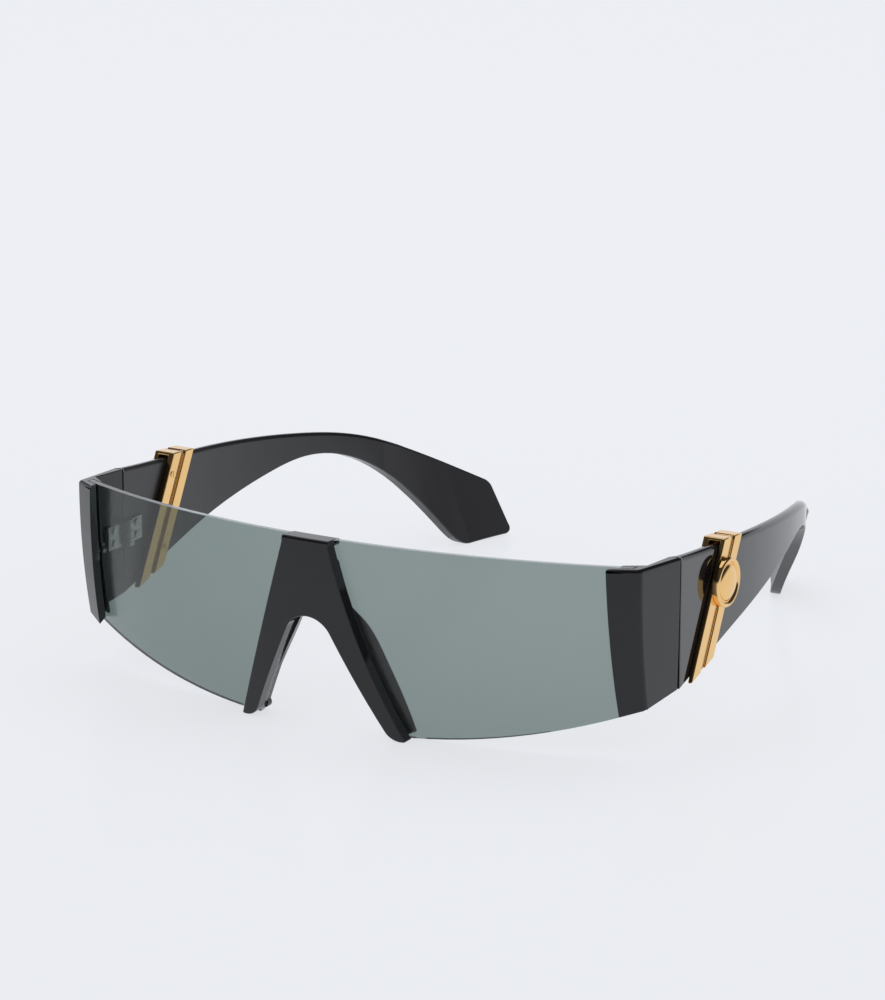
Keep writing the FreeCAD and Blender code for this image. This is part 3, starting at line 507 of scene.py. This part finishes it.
def temple_round(edge, outward, tip):
    """Width of the round on a temple's edge: crisp at the seam, wide along the top, slim towards the tip."""
    if looks(edge, Y, -0.9):
        return SEAM_ROUND
    if not looks(edge, Z, 0.5):
        return SLIM_ROUND
    wide = OUTER_TOP_ROUND if looks(edge, X, 0.5 * outward) else INNER_TOP_ROUND
    share = min(1.0, max(0.0, (tip - middle_of(edge).y - SLIM_TIP) / TAPER))
    return SLIM_ROUND + (wide - SLIM_ROUND) * share


for side, outward in OUTWARD.items():
    node = "temple_" + side
    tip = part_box(node)[1].y
    cuts = even_places(node, Y, TEMPLE_STRIPS)
    paddle = cuts[1][-PADDLE_STRIPS]
    blade = worked_strips(node, "temple_blade_" + side, [cuts],
                          lambda f: facing(X)(f) or f.calc_center_median().y < paddle, limit=8)
    holes = middles(*(kind + side for kind in BLADE_FASTENERS))
    ease_edges(blade, lambda e: temple_round(e, outward, tip), holes, reach=3.0 * MM)
    hand_over(blade, node, "frame", node, temple_black)
    blade.data.materials.append(temple_satin)
    for face in blade.data.polygons:
        face.material_index = int(face.normal.x * outward < INNER_FACE)

# %% [markdown]
# ## End pieces
# The end pieces wrap the corners of the lens: a facet in front, one at the side, and a seam against
# the temple. Their upright edges are crisp, so the bevel is small there, and wide along the top of the
# two facets, where it goes on into the temple's round. The left one is the right one's mirror twin.

# %% End pieces
FACET_TOP_ROUND = 0.8 * MM
CRISP_ROUND = 0.22 * MM
FRONT_FACET_DEPTH = 3.5 * MM


def corner_round(edge, front):
    """Width of the round on an end piece's edge: wide along the top of the two facets, slim elsewhere."""
    in_front = looks(edge, Y, -0.5) and middle_of(edge).y < front + FRONT_FACET_DEPTH
    on_facet = looks(edge, X, 0.7) or in_front
    return FACET_TOP_ROUND if on_facet and looks(edge, Z, 0.7) else CRISP_ROUND


def mirrored(piece, name):
    """A twin of a finished piece on the other side of X = 0, alone in the selection."""
    twin = lone_object(name, piece.data.copy())
    bpy.ops.mesh.customdata_custom_splitnormals_clear()
    edit_all()
    bpy.ops.transform.resize(value=(-1.0, 1.0, 1.0), center_override=(0.0, 0.0, 0.0))
    bpy.ops.mesh.normals_make_consistent(inside=False)
    bpy.ops.object.mode_set(mode="OBJECT")
    return twin


cuts = even_places("end_piece_right", Z, count=12)
corner = worked_strips("end_piece_right", "corner_right", [cuts], facing(Y), limit=5)
holes = middles("end_screw_right", "front_rivet_upper_right", "front_rivet_lower_right")
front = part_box("end_piece_right")[0].y
ease_edges(corner, lambda e: corner_round(e, front), holes, reach=3.2 * MM)
hand_over(corner, "front", "frame", "end_piece_right")
hand_over(mirrored(corner, "corner_left"), "front", "frame", "end_piece_left")

# %% [markdown]
# ## Bridge and saddle
# The bridge is a plate on the front of the lens, cut from the same ball. A round arch goes over the
# nose, and a small cap hooks over the lens's upper edge. Its outline is eased, most at the top, which
# gives the bright dot at its upper corner. The saddle holds the lens from behind and carries the two
# nose pads. Its edges are only broken, because its small faces leave no room for a wider round.

# %% Bridge and saddle
PLATE_TOP_ROUND = 0.7 * MM
PLATE_ROUND = 0.3 * MM
SADDLE_ROUND = 0.14 * MM


def plate_round(edge):
    """Width of the round on the bridge's edge: wide along the top of its front, none against the lens."""
    if looks(edge, Z, 0.7):
        return PLATE_TOP_ROUND if looks(edge, Y, -0.7) else PLATE_ROUND
    return 0.0 if looks(edge, Y, 0.5) else PLATE_ROUND


def saddle_round(edge):
    """Width of the round on the saddle's edge: none where it lies against the lens."""
    return 0.0 if looks(edge, Y, -0.5) else SADDLE_ROUND


holes = middles("bridge_screw_right", "bridge_screw_left")
cuts = [even_places("bridge_front", X, count=11), even_places("bridge_front", Z, count=13)]
plate = worked_strips("bridge_front", "bridge_plate", cuts, facing(Y), limit=6)
ease_edges(plate, plate_round, holes, reach=3.0 * MM)
hand_over(plate, "front", "frame", "bridge_front")

cuts = [even_places("nose_saddle", X, count=17), even_places("nose_saddle", Z, count=17)]
saddle = worked_strips("nose_saddle", "saddle_pads", cuts, facing(Y), limit=6)
ease_edges(saddle, saddle_round, holes, reach=3.0 * MM, segments=3)
hand_over(saddle, "front", "saddle", "nose_saddle")

# %% [markdown]
# ## Clips
# Each clip is two leaning gold bars with a groove between them, hooked over the temple's top. All its
# faces are flat, so no strips are needed: the leftover edges of each face are dissolved, and a fine
# bevel catches the light along every bar.

# %% Clips
CLIP_ROUND = 0.3 * MM
for side in OUTWARD:
    node = "clip_" + side
    clip = worked_strips(node, "clip_bars_" + side, [], facing(X), limit=2)
    holes = middles("clip_screw_upper_" + side, "clip_screw_lower_" + side)
    ease_edges(clip, lambda e: CLIP_ROUND, holes, reach=2.0 * MM)
    hand_over(clip, "temple_" + side, "gold", node)

# %% [markdown]
# ## Bosses
# A plain round boss sits on each clip. It is a turned piece: a disc, a raised rim with a rounded crest,
# a groove and a low dome. A lathe makes it ring by ring, and so does this cell: a circle's face is
# pushed out and scaled for each ring of the profile.

# %% Bosses
BOSS_SIDES = 96
RIM_RINGS = [(-0.25, 0.0), (-0.07, 0.06), (0.0, 0.22), (0.0, 1.15), (-0.08, 1.38), (-0.26, 1.54),
             (-0.50, 1.60), (-0.74, 1.55), (-0.92, 1.40), (-1.02, 1.18), (-1.12, 1.02), (-1.30, 0.96),
             (-1.48, 1.02)]
DOME_TURNS = [math.radians(degrees) for degrees in range(5, 84, 6)]


def turned(name, node, outward, profile):
    """A round piece with its axis along X, made ring by ring on a CAD node's place."""
    low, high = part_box(node)
    foot = Vector((low.x if outward > 0 else high.x, (low.y + high.y) / 2, (low.z + high.z) / 2))
    bpy.ops.object.select_all(action="DESELECT")
    bpy.ops.mesh.primitive_circle_add(vertices=BOSS_SIDES, radius=profile[0][0], fill_type="NGON")
    piece = bpy.context.object
    piece.name = name
    edit_all()
    bpy.ops.transform.rotate(value=math.pi / 2, orient_axis="Y", center_override=(0.0, 0.0, 0.0))
    bpy.ops.transform.translate(value=foot)
    for (radius, rise), (next_radius, next_rise) in zip(profile, profile[1:]):
        step = Vector((outward * (next_rise - rise), 0.0, 0.0))
        bpy.ops.mesh.extrude_region_move(TRANSFORM_OT_translate={"value": step})
        share = next_radius / radius
        centre = foot + Vector((outward * next_rise, 0.0, 0.0))
        bpy.ops.transform.resize(value=(1.0, share, share), center_override=centre)
    bpy.ops.mesh.select_all(action="SELECT")
    bpy.ops.mesh.normals_make_consistent(inside=False)
    bpy.ops.object.mode_set(mode="OBJECT")
    return piece


def boss_profile(radius, tall):
    """Radius and rise of each ring: disc, rim, groove, dome."""
    rings = [(radius + inset * MM, rise * MM) for inset, rise in RIM_RINGS]
    base, start = rings[-1]
    return rings + [(base * math.cos(turn), start + (tall - start) * math.sin(turn)) for turn in DOME_TURNS]


for side, outward in OUTWARD.items():
    node = "boss_" + side
    low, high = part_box(node)
    boss = turned("boss_disc_" + side, node, outward, boss_profile((high.y - low.y) / 2, high.x - low.x))
    hand_over(boss, "temple_" + side, "gold", node)

# %% [markdown]
# ## Hinges
# The hinge leaves are stamped and milled from plate, so their long edges are broken by a fine chamfer.
# The short edges around the rivet holes and the pin's bore are left alone.

# %% Hinges
LEAF_CHAMFER = 0.08 * MM
LEAST_LENGTH = 0.8 * MM
for side in OUTWARD:
    for kind, body in (("front_hinge_", "front"), ("rear_hinge_", "temple_" + side)):
        leaf = worked_strips(kind + side, kind + "leaf_" + side, [], facing(X), limit=1)
        ease_edges(leaf, lambda e: LEAF_CHAMFER * (e.calc_length() > LEAST_LENGTH), segments=2)
        hand_over(leaf, body, "hinge", kind + side)
